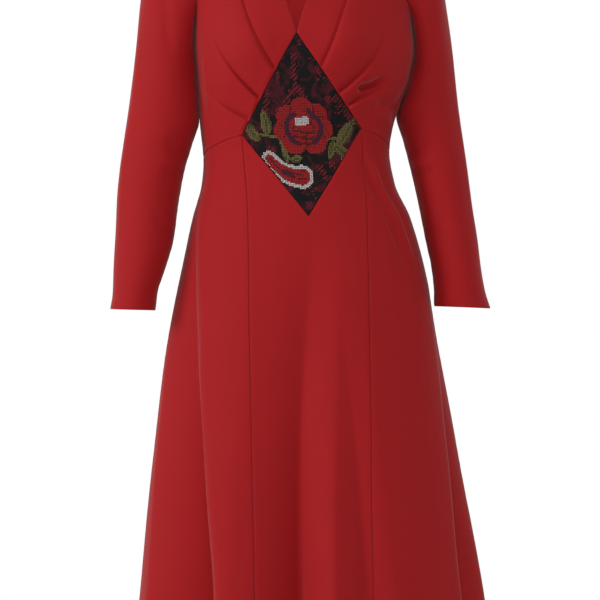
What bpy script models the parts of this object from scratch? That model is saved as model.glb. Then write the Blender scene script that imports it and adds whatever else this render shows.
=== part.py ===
# Long-sleeved V-neck dress with a diamond inset, filled out as it is worn, with nobody in it.
#
# Every length is in millimetres until place() turns it into metres.
# X runs to the wearer's left, -Y to the front, +Z up. The origin is midway between
# the neck ends of the two shoulder seams, where the dress hangs on its wearer.
import functools
import math

import bmesh
import bpy
import numpy as np
from mathutils import Matrix, Vector

METRES = 0.001
WALL = 1.2
SEAM_GAP = 0.4
SLEEVE_GAP = 0.5
STEP = 0.2
SHARE_STEP = 0.001
WELD = 1e-6

# heights of the main points; the waist sits a little lower on the wearer's right
NECK_POINT_X = 77
SHOULDER_Z = -45
UNDERARM_Z = -215
BACK_NECK_Z = -30
SIDE_WAIST_Z = {-1: -412, 1: -402}
BACK_WAIST_Z = -404
HEM_Z = -1180

# the diamond, measured from the centre line, and the seams that run down from its corners
DIAMOND_HALF = 85.5
DIAMOND_TOP_Z = -241
DIAMOND_CORNER_Z = {-1: -384, 1: -374}
DIAMOND_TIP_Z = -500
HEM_SEAM_X = 92
SEAM_BOW = 3

# how far the armhole seam swings away from the side, in degrees
ARMHOLE_FRONT = 34
ARMHOLE_BACK = 30

# one row for each level of the body: where the centre line runs, how far the cloth
# reaches from it to each side, to the front and to the back, and how square the ring is
BODY_COLUMNS = ("height", "centre", "right", "left", "front", "back", "square")
BODY = (
    (0, 0, 77, 77, 14, 14, 2.3),
    (-12, 0, 107, 107, 31, 33, 2.3),
    (-28, 0, 146, 146, 47, 52, 2.35),
    (-45, 0, 179, 179, 61, 67, 2.4),
    (-70, 0, 186, 187, 76, 81, 2.4),
    (-100, -1, 181, 185, 89, 92, 2.4),
    (-150, -2, 163, 178, 102, 101, 2.4),
    (-190, -3, 149, 176, 110, 104, 2.4),
    (-215, -3.5, 145.5, 176, 114, 104, 2.4),
    (-257, -3, 143, 177, 117.5, 100, 2.4),
    (-300, -0.5, 141, 168.5, 113, 94, 2.35),
    (-329, 2, 141.5, 154, 106, 90, 2.3),
    (-373, 6, 141, 136, 94, 83, 2.25),
    (-408, 9, 140, 129, 88, 80, 2.2),
    (-450, 12, 145.5, 134, 91, 88, 2.2),
    (-500, 14.5, 162, 154.5, 99, 106, 2.2),
    (-580, 14.5, 179, 178, 113, 130, 2.2),
    (-700, 15, 201, 201, 132, 146, 2.15),
    (-850, 15.5, 221, 225.5, 158, 168, 2.1),
    (-1054, 17.5, 244.5, 259, 192, 196, 2.0),
    (-1180, 18.5, 259.5, 277.5, 213, 214, 2.0),
)

# the two cups of the bodice
CUP_X = 80
CUP_Z = -262
CUP_RISE = 13
CUP_WIDTH = 50
CUP_HEIGHT = 46

# valleys between the flutes of the skirt: the angle from the centre front where each starts
# and at the hem, how deep it is at the hem, how many degrees it reaches before and after,
# and the height where it starts
FLUTE_COLUMNS = ("top", "hem", "depth", "before", "after", "start")
FLUTES = (
    (-78, -46, 80, 25, 14, -470),
    (2, -6, 74, 25, 12, -520),
    (11, 19, 19, 12, 8.5, -600),
    (86, 68, 54, 13, 17, -600),
    (-106, -101, 26, 20, 16, -600),
    (-133, -137, 40, 18, 18, -500),
    (-164, -166, 28, 12, 16, -600),
    (110, 106, 28, 14, 20, -600),
    (132, 137, 38, 16, 19, -520),
    (166, 168, 26, 14, 12, -600),
)
FLUTE_GROWTH = 1.1
FLUTE_POWER = 1.35
FLUTE_ROUND = 0.06

# pleats of the bodice front, sewn into the diamond's edge and let out over the cups,
# as x from the centre line and height of where each starts, bends and ends
PLEAT_COLUMNS = ("start_x", "start_z", "bend_x", "bend_z", "end_x", "end_z", "depth")
PLEATS = (
    (-32, -294, -70, -239, -92, -120, 3.2),
    (-60, -330, -112, -277, -121, -232, 3.8),
    (-74, -362, -136, -330, -147, -280, 3.8),
    (33, -288, 61, -242, 92, -120, 3.4),
    (59, -322, 122, -277, 128, -232, 4.4),
    (72, -340, 104, -319, 140, -312, 6.0),
)
PLEAT_GROOVE = 7
PLEAT_ROLL = 9
PLEAT_FADE = 10
PLEAT_STEPS = 10
PLEAT_ROLL_SHARE = 0.75
PLEAT_LET_OUT = 0.55

# one row for each ring of a sleeve: the outer and the inner end of the ring as seen
# from the front, how far forward its middle lies, and half its depth
SLEEVE_COLUMNS = ("outer_x", "outer_z", "inner_x", "inner_z", "middle_y", "depth")
RIGHT_SLEEVE = (
    (205, -86, 149.5, -230, 0, 58),
    (214, -135, 148.5, -248, 1, 58),
    (221.5, -184, 145.5, -272, 3, 57),
    (229.5, -257, 141.5, -312, 5, 55),
    (237.5, -329, 138.7, -352, 6, 53),
    (247, -395, 148.5, -396, 6, 51),
    (252, -431, 159, -431, 4, 50),
    (256.5, -474, 166.5, -474, 2, 48),
    (259, -532, 174.5, -532, -5, 46),
    (261, -575, 187, -575, -12, 42),
    (262.5, -610, 198, -608, -18, 39),
    (266, -632, 201.5, -634, -22, 38),
)
LEFT_SLEEVE = (
    (206, -86, 172, -230, 2, 59),
    (214, -135, 174, -248, 5, 61),
    (220.5, -184, 173.5, -272, 9, 62),
    (230.5, -257, 164, -312, 11, 60),
    (239, -329, 150.5, -350, 11, 56),
    (247, -390, 160, -388, 8, 52),
    (258.5, -474, 181, -474, 2, 48),
    (267, -532, 192, -532, -6, 45),
    (271.5, -575, 200, -575, -12, 43),
    (276.5, -608, 202, -606, -18, 42),
    (283, -631, 201, -628, -22, 41),
)
SLEEVE_BODY_CLEARANCE = 1.0
ARMHOLE_DEPTH = 58
CAP_LENGTH = 0.3

# how many cells each piece has
FRONT_CELLS = 20
FRONT_DIAMOND_CELLS = 16
DIAMOND_CELLS = 10
SIDE_CELLS = 14
ARMHOLE_CELLS = 12
BACK_CELLS = 10
BACK_NECK_CELLS = 4
BACK_SIDE_CELLS = 8
SLEEVE_LENGTH_CELLS = 15
SKIRT_CELLS = 14
SKIRT_SIDE_CELLS = 15
SKIRT_BACK_CELLS = 17
RING_GROWTH = 1.3
EDGE_FADE = 4
DRAW_IN_ROUNDS = 6

# colours and finishes
RED = (0.40, 0.022, 0.028, 1)
BLACK = (0.010, 0.008, 0.009, 1)
METAL = (0.30, 0.03, 0.035, 1)

# the concealed zip
ZIP_TOP_Z = -38
SEAT_GAP = 0.3
SLIDER_SIZE = (5.0, 1.6, 8.0)
BRIDGE_STAND = 1.5
BRIDGE_RADIUS = 1.9
BRIDGE_HOLE = 0.95
BRIDGE_WIDTH = 1.5
TAB_WIDTH = 4.6
TAB_LENGTH = 24
TAB_WALL = 0.9
TAB_END_STEPS = 8
WINDOW_HALF = 1.1
WINDOW_END = 3.0


def smooth_step(value):
    value = min(1.0, max(0.0, value))
    return value * value * (3 - 2 * value)


def mix(a, b, share):
    return a + (b - a) * share


def slopes_of(places, values):
    """Slopes that keep a smooth curve through the values from overshooting them."""
    spans = np.diff(places)
    rises = np.diff(values) / spans
    slopes = np.zeros(len(places))
    slopes[0], slopes[-1] = rises[0], rises[-1]
    for i in range(1, len(places) - 1):
        if rises[i - 1] * rises[i] > 0:
            before, after = spans[i - 1], spans[i]
            weight = (2 * after + before, after + 2 * before)
            slopes[i] = sum(weight) / (weight[0] / rises[i - 1] + weight[1] / rises[i])
    return slopes


class Profile:
    """Smooth curves through the columns of a table, read at a place on its first column."""

    def __init__(self, columns, rows):
        table = np.array(rows, float)
        table = table[np.argsort(table[:, 0])]
        self.places = table[:, 0]
        self.curves = {
            name: (table[:, i], slopes_of(self.places, table[:, i]))
            for i, name in enumerate(columns)
            if i
        }

    def read(self, name, place):
        values, slopes = self.curves[name]
        place = min(self.places[-1], max(self.places[0], place))
        i = min(len(self.places) - 2, int(np.searchsorted(self.places, place, "right")) - 1)
        i = max(0, i)
        span = self.places[i + 1] - self.places[i]
        t = (place - self.places[i]) / span
        return (
            values[i] * (1 + 2 * t) * (1 - t) ** 2
            + values[i + 1] * t * t * (3 - 2 * t)
            + span * (slopes[i] * t * (1 - t) ** 2 + slopes[i + 1] * t * t * (t - 1))
        )


body = Profile(BODY_COLUMNS, BODY)


def side_of(x):
    return 1 if x > 0 else -1


def half_width(side, height):
    return body.read("left" if side > 0 else "right", height)


def flute_relief(around, height):
    """How far the skirt's troughs sink below the ring, in millimetres."""
    sink = 0.0
    for row in FLUTES:
        flute = dict(zip(FLUTE_COLUMNS, row))
        share = max(0.0, (flute["start"] - height) / (flute["start"] - HEM_Z))
        middle = mix(flute["hem"], flute["top"], (1 - share) ** 2)
        away = (around - middle + 180) % 360 - 180
        away /= flute["after"] if away > 0 else flute["before"]
        if abs(away) < 1:
            lobe = (1 - math.hypot(away, FLUTE_ROUND)) / (1 - FLUTE_ROUND)
            sink += flute["depth"] * share ** FLUTE_GROWTH * max(0, lobe) ** FLUTE_POWER
    return sink


def pleat_relief(x, z):
    """How far the bodice's pleats sink or stand at a point seen from the front."""
    edge = diamond_edge_distance(x, z)
    if edge <= 0:
        return 0.0
    relief = 0.0
    for row in PLEATS:
        pleat = dict(zip(PLEAT_COLUMNS, row))
        if pleat["start_x"] * x <= 0:
            continue
        side = side_of(x)
        start = Vector((pleat["start_x"], pleat["start_z"]))
        bend = Vector((pleat["bend_x"], pleat["bend_z"]))
        end = Vector((pleat["end_x"], pleat["end_z"]))
        nearest, along, across = 1e9, 0, 0
        before = start
        for i in range(1, PLEAT_STEPS + 1):
            t = i / PLEAT_STEPS
            after = start * (1 - t) ** 2 + bend * (2 * t * (1 - t)) + end * t * t
            run = after - before
            share = min(1, max(0, (Vector((x, z)) - before).dot(run) / run.length_squared))
            gap = Vector((x, z)) - before - run * share
            if gap.length < nearest:
                nearest = gap.length
                along = (i - 1 + share) / PLEAT_STEPS
                across = side * (run.x * gap.y - run.y * gap.x) / run.length
            before = after
        fade = smooth_step((1 - along) / PLEAT_LET_OUT)
        groove = math.exp(-((nearest / PLEAT_GROOVE) ** 2))
        roll = math.exp(-(((across + PLEAT_ROLL) / PLEAT_ROLL) ** 2))
        end_fade = math.exp(-((max(0, nearest - abs(across)) / PLEAT_ROLL) ** 2))
        relief += pleat["depth"] * fade * end_fade * (PLEAT_ROLL_SHARE * roll - groove)
    return relief * smooth_step(edge / PLEAT_FADE)


def diamond_edge_distance(x, z):
    """Distance from the diamond's upper edge, positive outside it, x from the centre line."""
    corner_z = DIAMOND_CORNER_Z[side_of(x)]
    run = Vector((-DIAMOND_HALF, DIAMOND_TOP_Z - corner_z)).normalized()
    gap = Vector((abs(x) - DIAMOND_HALF, z - corner_z))
    return gap.x * run.y - gap.y * run.x


def body_point(around, height):
    """A point on the outside of the dress. around is in degrees from the centre front."""
    angle = math.radians(around)
    power = 2 / body.read("square", height)
    across, ahead = math.sin(angle), math.cos(angle)
    x = math.copysign(abs(across) ** power, across) * half_width(across, height)
    reach = body.read("front" if ahead > 0 else "back", height)
    y = -math.copysign(abs(ahead) ** power, ahead) * reach
    if ahead > 0:
        cup = ((abs(x) - CUP_X) / CUP_WIDTH) ** 2 + ((height - CUP_Z) / CUP_HEIGHT) ** 2
        y -= CUP_RISE * math.exp(-cup) * ahead ** power
        if SIDE_WAIST_Z[side_of(x)] < height < SHOULDER_Z:
            y -= pleat_relief(x, height) * ahead ** power
    sink = flute_relief(around, height)
    if sink > 0:
        ring = math.hypot(x, y)
        x, y = x * (1 - sink / ring), y * (1 - sink / ring)
    return Vector((x + body.read("centre", height), y, height))


def around_of(x, height):
    """The angle from the centre front where the ring stands x away from the centre line."""
    power = 2 / body.read("square", height)
    share = min(1.0, abs(x) / half_width(x, height))
    return math.copysign(math.degrees(math.asin(share ** (1 / power))), x)


def outward(around, height):
    """The cloth's own direction outwards, from two small steps along it."""
    across = body_point(around + STEP, height) - body_point(around - STEP, height)
    up = body_point(around, height + STEP) - body_point(around, height - STEP)
    return across.cross(up).normalized()


def place(point):
    return point * METRES


def finish(name, mesh, material, sharp=50):
    mesh.shade_smooth()
    mesh.set_sharp_from_angle(angle=math.radians(sharp))
    mesh.materials.append(material)
    obj = bpy.data.objects.new(name, mesh)
    dress.objects.link(obj)
    return obj


def cloth_wall(name, cells, at, material, closed=False):
    """One cut piece of cloth: a thin slab of cells, bent so that at(u, v, depth) places it.

    u and v run from 0 to 1 across the piece, and depth is 0 outside and 1 inside.
    """
    bm = bmesh.new()
    bmesh.ops.create_grid(bm, x_segments=cells[0], y_segments=cells[1], size=0.5)
    bmesh.ops.triangulate(bm, faces=bm.faces[:], quad_method="FIXED")
    slab = bmesh.ops.extrude_face_region(bm, geom=bm.faces[:], use_keep_orig=True)
    deeper = {v for v in slab["geom"] if isinstance(v, bmesh.types.BMVert)}
    if closed:
        ends = [f for f in bm.faces if all(abs(v.co.x) > 0.5 - WELD for v in f.verts)]
        bmesh.ops.delete(bm, geom=ends, context="FACES")
    for v in bm.verts:
        v.co = place(at(v.co.x + 0.5, v.co.y + 0.5, 1 if v in deeper else 0))
    if closed:
        bmesh.ops.remove_doubles(bm, verts=bm.verts[:], dist=WELD)
    bmesh.ops.recalc_face_normals(bm, faces=bm.faces[:])
    mesh = bpy.data.meshes.new(name)
    bm.to_mesh(mesh)
    bm.free()
    return finish(name, mesh, material)


def patch(bottom, top, inner, outer):
    """Fills four edges, each a function of 0 to 1 giving (around, height).

    Straight rows join the inner to the outer edge. What the bottom and the top edge
    depart from a straight row fades out in the rows beside them.
    """

    def at(u, v):
        row = inner(v).lerp(outer(v), u)
        from_bottom = bottom(u) - bottom(0).lerp(bottom(1), u)
        from_top = top(u) - top(0).lerp(top(1), u)
        return row + from_bottom * (1 - v) ** EDGE_FADE + from_top * v ** EDGE_FADE

    return at


def drawn_in(at, edge, inward):
    """How far to move in from an edge of a patch, as a share, to leave half a seam gap."""
    share = SHARE_STEP
    for _ in range(DRAW_IN_ROUNDS):
        gap = (body_point(*at(edge + inward * share)) - body_point(*at(edge))).length
        share *= SEAM_GAP / 2 / gap
    return share


def on_body(patch_at):
    """Turns a patch of (around, height) into at(u, v, depth), drawn in by half a seam gap."""

    @functools.cache
    def row_ends(v):
        def row(t):
            return patch_at(t, v)

        return drawn_in(row, 0, 1), 1 - drawn_in(row, 1, -1)

    @functools.cache
    def column_ends(u):
        def column(t):
            return patch_at(u, t)

        return drawn_in(column, 0, 1), 1 - drawn_in(column, 1, -1)

    def at(u, v, depth):
        around, height = patch_at(mix(*row_ends(v), u), mix(*column_ends(u), v))
        return body_point(around, height) - outward(around, height) * (WALL * depth)

    return at


def armhole(share, side, back=False):
    """The armhole seam as (around, height), share 0 at the shoulder and 1 at the underarm."""
    swing = ARMHOLE_BACK if back else -ARMHOLE_FRONT
    around = 90 + swing * math.sin(math.pi * share)
    drop = (1 - math.cos(math.pi * share)) / 2
    return Vector((side * around, mix(SHOULDER_Z, UNDERARM_Z, drop)))


def neckline(share, side):
    """The V neck's edge, share 0 at the diamond's top and 1 at the shoulder."""
    height = mix(DIAMOND_TOP_Z, 0, share)
    return Vector((around_of(side * NECK_POINT_X * share, height), height))


def back_neckline(share, side):
    """The back neck's edge, share 0 at the centre back and 1 at the shoulder."""
    height = BACK_NECK_Z * (1 - share ** 2)
    return Vector((side * (180 - around_of(NECK_POINT_X * share, height)), height))


def flat_line(start, end, t):
    """A line that looks straight from the front, from (x, height) to (x, height)."""
    x, height = mix(start[0], end[0], t), mix(start[1], end[1], t)
    return Vector((around_of(x, height), height))


def bodice_front(name, side, material):
    corner = (side * DIAMOND_HALF, DIAMOND_CORNER_Z[side])
    top = (side * SHARE_STEP, DIAMOND_TOP_Z)
    rows = SIDE_CELLS + ARMHOLE_CELLS
    diamond_share = FRONT_DIAMOND_CELLS / rows
    side_share = SIDE_CELLS / rows

    def inner(v):
        if v <= diamond_share:
            return flat_line(corner, top, v / diamond_share)
        return neckline((v - diamond_share) / (1 - diamond_share), side)

    def outer(v):
        if v <= side_share:
            return Vector((side * 90, mix(SIDE_WAIST_Z[side], UNDERARM_Z, v / side_share)))
        return armhole(1 - (v - side_share) / (1 - side_share), side)

    def waist(u):
        return inner(0).lerp(outer(0), u)

    def shoulder(u):
        return Vector((side * 90, mix(0, SHOULDER_Z, u)))

    at = on_body(patch(waist, shoulder, inner, outer))
    return cloth_wall(name, (FRONT_CELLS, rows), at, material)


def bodice_back(name, side, material):
    rows = BACK_SIDE_CELLS + ARMHOLE_CELLS
    side_share = BACK_SIDE_CELLS / rows
    neck_share = BACK_NECK_CELLS / BACK_CELLS

    def centre(v):
        return Vector((side * 180, mix(BACK_WAIST_Z, BACK_NECK_Z, v)))

    def outer(v):
        if v <= side_share:
            return Vector((side * 90, mix(SIDE_WAIST_Z[side], UNDERARM_Z, v / side_share)))
        return armhole(1 - (v - side_share) / (1 - side_share), side, back=True)

    def waist(u):
        return centre(0).lerp(outer(0), u)

    def top(u):
        if u <= neck_share:
            return back_neckline(u / neck_share, side)
        return Vector((side * 90, mix(0, SHOULDER_Z, (u - neck_share) / (1 - neck_share))))

    at = on_body(patch(waist, top, centre, outer))
    return cloth_wall(name, (BACK_CELLS, rows), at, material)


def inset_diamond(name, material):
    tip = (0, DIAMOND_TIP_Z)
    left = (DIAMOND_HALF, DIAMOND_CORNER_Z[1])
    right = (-DIAMOND_HALF, DIAMOND_CORNER_Z[-1])
    top = (0, DIAMOND_TOP_Z)
    at = on_body(patch(
        lambda u: flat_line(tip, left, u),
        lambda u: flat_line(right, top, u),
        lambda v: flat_line(tip, right, v),
        lambda v: flat_line(left, top, v),
    ))
    return cloth_wall(name, (DIAMOND_CELLS, DIAMOND_CELLS), at, material)


def princess_seam(side, share):
    """The seam from the diamond's corner to the hem, share 0 at the hem."""
    x = mix(HEM_SEAM_X, DIAMOND_HALF, share) - SEAM_BOW * math.sin(math.pi * share)
    height = mix(HEM_Z, DIAMOND_CORNER_Z[side], share)
    return Vector((around_of(side * x, height), height))


def skirt_front_centre(name, material):
    tip = (0, DIAMOND_TIP_Z)

    def hem(u):
        return princess_seam(-1, 0).lerp(princess_seam(1, 0), u)

    def under_diamond(u):
        side = side_of(u - 0.5)
        corner = (side * DIAMOND_HALF, DIAMOND_CORNER_Z[side])
        return flat_line(tip, corner, abs(2 * u - 1))

    at = on_body(patch(
        hem,
        under_diamond,
        lambda v: princess_seam(-1, v),
        lambda v: princess_seam(1, v),
    ))
    return cloth_wall(name, (2 * DIAMOND_CELLS, SKIRT_CELLS), at, material)


def skirt_front_side(name, side, material):
    def side_seam(v):
        return Vector((side * 90, mix(HEM_Z, SIDE_WAIST_Z[side], v)))

    def hem(u):
        return princess_seam(side, 0).lerp(side_seam(0), u)

    def waist(u):
        return princess_seam(side, 1).lerp(side_seam(1), u)

    at = on_body(patch(hem, waist, lambda v: princess_seam(side, v), side_seam))
    return cloth_wall(name, (SKIRT_SIDE_CELLS, SKIRT_CELLS), at, material)


def skirt_back(name, side, material):
    def centre(v):
        return Vector((side * 180, mix(HEM_Z, BACK_WAIST_Z, v)))

    def side_seam(v):
        return Vector((side * 90, mix(HEM_Z, SIDE_WAIST_Z[side], v)))

    at = on_body(patch(
        lambda u: centre(0).lerp(side_seam(0), u),
        lambda u: centre(1).lerp(side_seam(1), u),
        centre,
        side_seam,
    ))
    return cloth_wall(name, (SKIRT_BACK_CELLS, SKIRT_CELLS), at, material)


def sleeve_profile(rows, side):
    """The sleeve's rings as smooth curves over its length, from the armhole to the cuff."""
    shoulder = body_point(side * 90, SHOULDER_Z)
    underarm = body_point(side * 90, UNDERARM_Z)
    first = (side * shoulder.x, shoulder.z, side * underarm.x, underarm.z, 0, ARMHOLE_DEPTH)
    rings = [first, *rows]
    lengths = [0.0]
    for before, after in zip(rings, rings[1:]):
        step = Vector((after[0] + after[2] - before[0] - before[2],
                       after[1] + after[3] - before[1] - before[3])) / 2
        lengths.append(lengths[-1] + step.length)
    table = [(length / lengths[-1], *ring) for length, ring in zip(lengths, rings)]
    return Profile(("share", *SLEEVE_COLUMNS), table)


def sleeve(name, side, rows, material):
    """A tube of rings. around is 0 at the shoulder's side, 90 in front, 180 under the arm."""
    profile = sleeve_profile(rows, side)

    def ring(around, share):
        read = {column: profile.read(column, share) for column in SLEEVE_COLUMNS}
        body_x = half_width(side, read["inner_z"]) + side * body.read("centre", read["inner_z"])
        inner_x = max(read["inner_x"], body_x + SLEEVE_BODY_CLEARANCE)
        angle = math.radians(around)
        outer = Vector((side * read["outer_x"], read["middle_y"], read["outer_z"]))
        inner = Vector((side * inner_x, read["middle_y"], read["inner_z"]))
        ahead = Vector((0, -read["depth"], 0))
        return (outer + inner) / 2 + (outer - inner) / 2 * math.cos(angle) + ahead * math.sin(angle)

    def edge(around):
        back = around % 360 > 180
        share = around % 360 / 180
        point = body_point(*armhole(2 - share if back else share, side, back))
        return point + Vector((side * SLEEVE_GAP, 0, 0))

    def surface(around, share):
        cap = max(0.0, 1 - share / CAP_LENGTH) ** 2
        point = ring(around, share)
        if cap > 0:
            point += (edge(around) - ring(around, 0)) * cap
        return point

    def at(u, v, depth):
        around = 360 * u
        v = v ** RING_GROWTH
        along_ring = surface(around + STEP, v) - surface(around - STEP, v)
        along_arm = surface(around, min(1, v + SHARE_STEP)) - surface(around, max(0, v - SHARE_STEP))
        normal = along_ring.cross(along_arm).normalized() * side
        return surface(around, v) - normal * (WALL * depth)

    return cloth_wall(name, (2 * ARMHOLE_CELLS, SLEEVE_LENGTH_CELLS), at, material, closed=True)


def box(name, size, centre):
    bm = bmesh.new()
    bmesh.ops.create_cube(bm, size=1)
    bmesh.ops.scale(bm, vec=size, verts=bm.verts[:])
    bmesh.ops.translate(bm, vec=centre, verts=bm.verts[:])
    bmesh.ops.scale(bm, vec=(METRES,) * 3, verts=bm.verts[:])
    mesh = bpy.data.meshes.new(name)
    bm.to_mesh(mesh)
    bm.free()
    return mesh


def barrel(name, radius, length, centre):
    """A cylinder along X."""
    bm = bmesh.new()
    bmesh.ops.create_cone(bm, cap_ends=True, segments=20, radius1=radius, radius2=radius,
                          depth=length, matrix=Matrix.Rotation(math.pi / 2, 4, "Y"))
    bmesh.ops.translate(bm, vec=centre, verts=bm.verts[:])
    bmesh.ops.scale(bm, vec=(METRES,) * 3, verts=bm.verts[:])
    mesh = bpy.data.meshes.new(name)
    bm.to_mesh(mesh)
    bm.free()
    return mesh


def zip_frame():
    """Where the slider sits: x across, y up along the seam, z away from the cloth."""
    origin = body_point(180, ZIP_TOP_Z)
    up = (body_point(180, ZIP_TOP_Z + STEP) - body_point(180, ZIP_TOP_Z - STEP)).normalized()
    across = Vector((-1, 0, 0))
    away = across.cross(up)
    matrix = Matrix((across, up, away)).transposed().to_4x4()
    matrix.translation = place(origin + away * SEAT_GAP)
    return matrix


def zip_slider(name, frame, material):
    width, wall, length = SLIDER_SIZE
    slider = finish(name, box(name, (width, length, wall), (0, 0, wall / 2)), material, 30)
    axis = (0, 0, wall + BRIDGE_STAND)
    steps = (
        ("UNION", barrel("bridge", BRIDGE_RADIUS, BRIDGE_WIDTH, axis)),
        ("DIFFERENCE", barrel("bridge_hole", BRIDGE_HOLE, 3 * BRIDGE_WIDTH, axis)),
    )
    for operation, mesh in steps:
        cutter = bpy.data.objects.new(mesh.name, mesh)
        cutter.hide_render = True
        cutter.display_type = "WIRE"
        cutter.matrix_world = frame
        cutters.objects.link(cutter)
        cut = slider.modifiers.new(mesh.name, "BOOLEAN")
        cut.operation = operation
        cut.object = cutter
    slider.matrix_world = frame
    return slider


def zip_pull(name, frame, material):
    """A flat tab with a window; the bar above the window turns inside the slider's bridge."""
    half, bar = TAB_WIDTH / 2, TAB_WALL / 2
    foot = TAB_LENGTH - half
    outline = [(half, bar), (-half, bar)]
    for i in range(TAB_END_STEPS + 1):
        angle = math.pi * i / TAB_END_STEPS
        outline.append((-half * math.cos(angle), -foot - half * math.sin(angle)))
    window = [(WINDOW_HALF, -bar), (WINDOW_HALF, -WINDOW_END),
              (-WINDOW_HALF, -WINDOW_END), (-WINDOW_HALF, -bar)]
    curve = bpy.data.curves.new(name, "CURVE")
    curve.dimensions = "2D"
    curve.fill_mode = "BOTH"
    curve.extrude = TAB_WALL / 2 * METRES
    for points in (outline, window):
        spline = curve.splines.new("POLY")
        spline.points.add(len(points) - 1)
        for point, (x, y) in zip(spline.points, points):
            point.co = (x * METRES, y * METRES, 0, 1)
        spline.use_cyclic_u = True
    curve.materials.append(material)
    tab = bpy.data.objects.new(name, curve)
    wall = SLIDER_SIZE[1]
    tab.matrix_world = frame @ Matrix.Translation(place(Vector((0, 0, wall + BRIDGE_STAND))))
    dress.objects.link(tab)
    return tab


def finish_of(name, colour, roughness, metallic=0.0):
    material = bpy.data.materials.new(name)
    material.use_nodes = True
    shader = material.node_tree.nodes["Principled BSDF"]
    shader.inputs["Base Color"].default_value = colour
    shader.inputs["Roughness"].default_value = roughness
    shader.inputs["Metallic"].default_value = metallic
    return material


def collection(name):
    new = bpy.data.collections.new(name)
    bpy.context.scene.collection.children.link(new)
    return new


for old in list(bpy.data.objects):
    bpy.data.objects.remove(old, do_unlink=True)

dress = collection("long_sleeved_dress")
cutters = collection("cutters")

crepe = finish_of("red_crepe", RED, 0.75)
velvet = finish_of("black_inset", BLACK, 0.85)
enamel = finish_of("red_enamel", METAL, 0.35, 0.6)

for word, side, rows in (("right", -1, RIGHT_SLEEVE), ("left", 1, LEFT_SLEEVE)):
    bodice_front(f"bodice_front_{word}", side, crepe)
    bodice_back(f"bodice_back_{word}", side, crepe)
    sleeve(f"sleeve_{word}", side, rows, crepe)
    skirt_front_side(f"skirt_front_{word}", side, crepe)
    skirt_back(f"skirt_back_{word}", side, crepe)
inset_diamond("inset_diamond", velvet)
skirt_front_centre("skirt_front_centre", crepe)

frame = zip_frame()
zip_slider("zip_slider", frame, enamel)
zip_pull("zip_pull", frame, enamel)
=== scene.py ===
import math

import bmesh
import bpy
import numpy as np
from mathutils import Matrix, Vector


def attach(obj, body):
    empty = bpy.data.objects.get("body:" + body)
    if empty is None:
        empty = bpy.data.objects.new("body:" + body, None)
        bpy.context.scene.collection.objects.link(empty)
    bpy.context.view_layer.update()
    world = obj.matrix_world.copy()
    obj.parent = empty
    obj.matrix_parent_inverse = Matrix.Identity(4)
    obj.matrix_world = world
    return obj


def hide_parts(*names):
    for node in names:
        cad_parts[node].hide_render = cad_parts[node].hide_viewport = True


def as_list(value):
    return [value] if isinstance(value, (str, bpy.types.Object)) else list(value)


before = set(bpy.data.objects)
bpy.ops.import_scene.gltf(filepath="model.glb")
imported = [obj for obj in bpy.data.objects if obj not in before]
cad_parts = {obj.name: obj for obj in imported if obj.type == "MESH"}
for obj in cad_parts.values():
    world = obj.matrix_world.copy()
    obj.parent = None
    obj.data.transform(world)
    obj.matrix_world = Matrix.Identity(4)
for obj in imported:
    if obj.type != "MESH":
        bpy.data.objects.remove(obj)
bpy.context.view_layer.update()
metres = 0.001  # lengths below are millimetres unless a line says otherwise


# the body of the dress, level by level: where its centre line runs, how far the cloth
# reaches from it to each side, to the front and to the back, and how square the ring is
bodyShape = {
    "columns": ("height", "centre", "right", "left", "front", "back", "square"),
    "rows": (
        (0, 0, 77, 77, 14, 14, 2.3),
        (-12, 0, 107, 107, 31, 33, 2.3),
        (-28, 0, 146, 146, 47, 52, 2.35),
        (-45, 0, 179, 179, 61, 67, 2.4),
        (-70, 0, 186, 187, 76, 81, 2.4),
        (-100, -1, 181, 185, 89, 92, 2.4),
        (-150, -2, 163, 178, 102, 101, 2.4),
        (-190, -3, 149, 176, 110, 104, 2.4),
        (-215, -3.5, 145.5, 176, 114, 104, 2.4),
        (-257, -3, 143, 177, 117.5, 100, 2.4),
        (-300, -0.5, 141, 168.5, 113, 94, 2.35),
        (-329, 2, 141.5, 154, 106, 90, 2.3),
        (-373, 6, 141, 136, 94, 83, 2.25),
        (-408, 9, 140, 129, 88, 80, 2.2),
        (-450, 12, 145.5, 134, 91, 88, 2.2),
        (-500, 14.5, 162, 154.5, 99, 106, 2.2),
        (-580, 14.5, 179, 178, 113, 130, 2.2),
        (-700, 15, 201, 201, 132, 146, 2.15),
        (-850, 15.5, 221, 225.5, 158, 168, 2.1),
        (-1054, 17.5, 244.5, 259, 192, 196, 2.0),
        (-1180, 18.5, 259.5, 277.5, 213, 214, 2.0),
    ),
    "neckX": 77,
    "shoulderZ": -45,
    "underarmZ": -215,
    "backNeckZ": -30,
    "sideWaistZ": {-1: -412, 1: -402},
    "backWaistZ": -404,
    "hemZ": -1180,
    "armholeFront": 34,
    "armholeBack": 30,
    "princessHemX": 92,
    "princessBow": 3,
}
diamondShape = {
    "half": 85.5,
    "topZ": -241,
    "cornerZ": {-1: -384, 1: -374},
    "tipZ": -500,
}
cups = {"x": 80, "z": -262, "rise": 13, "width": 50, "height": 46}

# valleys between the flutes of the skirt: angle from the centre front where each starts
# and at the hem, depth at the hem, degrees that it reaches before and after, and its start
flutes = {
    "rows": (
        (-78, -46, 80, 25, 14, -470),
        (2, -6, 74, 25, 12, -520),
        (11, 19, 19, 12, 8.5, -600),
        (86, 68, 54, 13, 17, -600),
        (-106, -101, 26, 20, 16, -600),
        (-133, -137, 40, 18, 18, -500),
        (-164, -166, 28, 12, 16, -600),
        (110, 106, 28, 14, 20, -600),
        (132, 137, 38, 16, 19, -520),
        (166, 168, 26, 14, 12, -600),
    ),
    "growth": 1.1,  # how the depth grows towards the hem
    "power": 1.35,  # how steeply a valley rises beside its line
    "round": 0.06,  # how round its bottom is
}

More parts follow.
